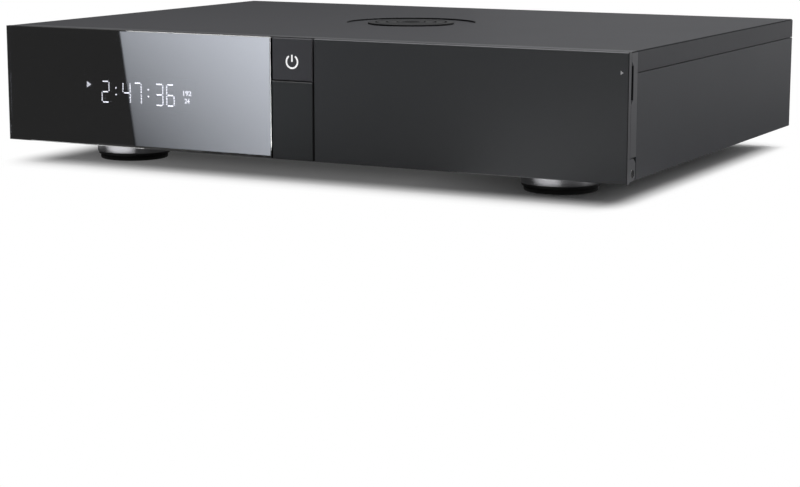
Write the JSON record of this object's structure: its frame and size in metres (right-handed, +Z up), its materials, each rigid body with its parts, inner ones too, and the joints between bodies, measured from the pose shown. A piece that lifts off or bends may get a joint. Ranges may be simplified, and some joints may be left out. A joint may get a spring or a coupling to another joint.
{
  "type": "media player",
  "caption": "Low hi-fi style media player with a smoked glass display window, a power key and a flap door over drive trays.",
  "frame": {"origin": "on the surface it stands on, under the middle of the overall box", "axes": "+X to the right as seen from the front, +Y to the back, +Z up"},
  "size_m": [0.43, 0.311, 0.0876],
  "materials": {
    "anodised_top": "fine satin anodised aluminium, dark grey",
    "anodised_side": "fine satin anodised aluminium, dark grey",
    "anodised_front": "fine satin anodised aluminium, near black",
    "smoked_glass": "smoked glass with polished edges",
    "black_plate": "matt black paint",
    "display_face": "smooth black plastic",
    "lit_white": "white light guide, lit",
    "circuit_board": "green solder mask on glass fibre board",
    "ribbon": "flat cable, off-white film",
    "spring_steel": "bright spring steel",
    "pin_steel": "ground steel",
    "magnet": "nickel-plated magnet",
    "screw_black": "black zinc",
    "sheet_steel": "zinc-plated sheet steel",
    "brass_posts": "bright brass",
    "gold_posts": "gold-plated brass",
    "rear_paint": "fine-textured black powder coat",
    "black_plastic": "black moulded plastic",
    "latch_grey": "grey moulded plastic",
    "socket_metal": "tinned steel shell",
    "drive_case": "cast aluminium with a bright lid",
    "heatsink_black": "black anodised aluminium",
    "winding": "yellow tape over the winding",
    "capacitor": "dark blue sleeve",
    "foot_metal": "turned aluminium with fine rings",
    "foot_rubber": "black rubber"
  },
  "bodies": {
    "case": {"top_cover": "anodised_top", "top_disc": "anodised_top", "chassis_tray": "anodised_side", "cover_rails": "anodised_side", "rear_panel": "rear_paint", "rear_screws": "screw_black", "front_frame": "anodised_side", "frame_screws": "screw_black", "display_window": "smoked_glass", "window_backplate": "black_plate", "display_module": "display_face", "display_board": "circuit_board", "display_digits": "lit_white", "display_ribbon": "ribbon", "filler_plate": "anodised_front", "key_spring": "spring_steel", "key_switch": "black_plastic", "key_board": "circuit_board", "key_spacers": "brass_posts", "hinge_pins": "pin_steel", "catch_plates": "pin_steel", "drive_cage": "sheet_steel", "tray_runners": "black_plastic", "drive_backplane": "circuit_board", "main_board": "circuit_board", "power_board": "circuit_board", "board_standoffs": "brass_posts", "processor": "black_plastic", "processor_heatsink": "heatsink_black", "transformer": "winding", "power_capacitors": "capacitor", "fan_housing": "black_plastic", "fan_guard": "rear_paint", "network_socket": "socket_metal", "usb_sockets": "socket_metal", "hdmi_sockets": "socket_metal", "optical_socket": "black_plastic", "line_sockets": "black_plastic", "antenna_posts": "gold_posts", "power_inlet": "black_plastic", "switch_housing": "black_plastic", "foot_caps": "foot_metal", "foot_pads": "foot_rubber", "foot_screws": "screw_black"},
    "key": {"power_key": "anodised_front", "power_symbol": "lit_white", "key_retainer": "spring_steel"},
    "door": {"door_panel": "anodised_front", "hinge_arm_left": "anodised_side", "hinge_arm_right": "anodised_side", "door_magnets": "magnet"},
    "tray_lower": {"drive_tray_lower": "black_plastic", "hard_drive_lower": "drive_case"},
    "tray_upper": {"drive_tray_upper": "black_plastic", "hard_drive_upper": "drive_case"},
    "latch_lower": {"tray_latch_lower": "latch_grey"},
    "latch_upper": {"tray_latch_upper": "latch_grey"},
    "rotor": {"fan_rotor": "black_plastic"},
    "rocker": {"switch_rocker": "black_plastic"}
  },
  "joints": [
    {"name": "door_hinge", "type": "hinge", "parent": "case", "child": "door", "pos_m": [0.11475, -0.147, 0.019], "axis": [1, 0, 0], "range_deg": [0, 90]},
    {"name": "key_press", "type": "slide", "parent": "case", "child": "key", "axis": [0, 1, 0], "range_m": [0, 0.0012], "stiffness_N_per_m": 400, "springref_m": -0.001, "deforming": ["key_spring"]},
    {"name": "tray_lower_slide", "type": "slide", "parent": "case", "child": "tray_lower", "axis": [0, -1, 0], "range_m": [0, 0.01]},
    {"name": "tray_upper_slide", "type": "slide", "parent": "case", "child": "tray_upper", "axis": [0, -1, 0], "range_m": [0, 0.01]},
    {"name": "latch_lower_slide", "type": "slide", "parent": "tray_lower", "child": "latch_lower", "axis": [-1, 0, 0], "range_m": [0, 0.004], "stiffness_N_per_m": 150, "springref_m": -0.002},
    {"name": "latch_upper_slide", "type": "slide", "parent": "tray_upper", "child": "latch_upper", "axis": [-1, 0, 0], "range_m": [0, 0.004], "stiffness_N_per_m": 150, "springref_m": -0.002},
    {"name": "fan_spin", "type": "hinge", "parent": "case", "child": "rotor", "pos_m": [-0.168, 0.1365, 0.05], "axis": [0, 1, 0], "continuous": true},
    {"name": "rocker_tilt", "type": "hinge", "parent": "case", "child": "rocker", "pos_m": [0.115, 0.1428, 0.049], "axis": [-1, 0, 0], "range_deg": [0, 14]}
  ]
}
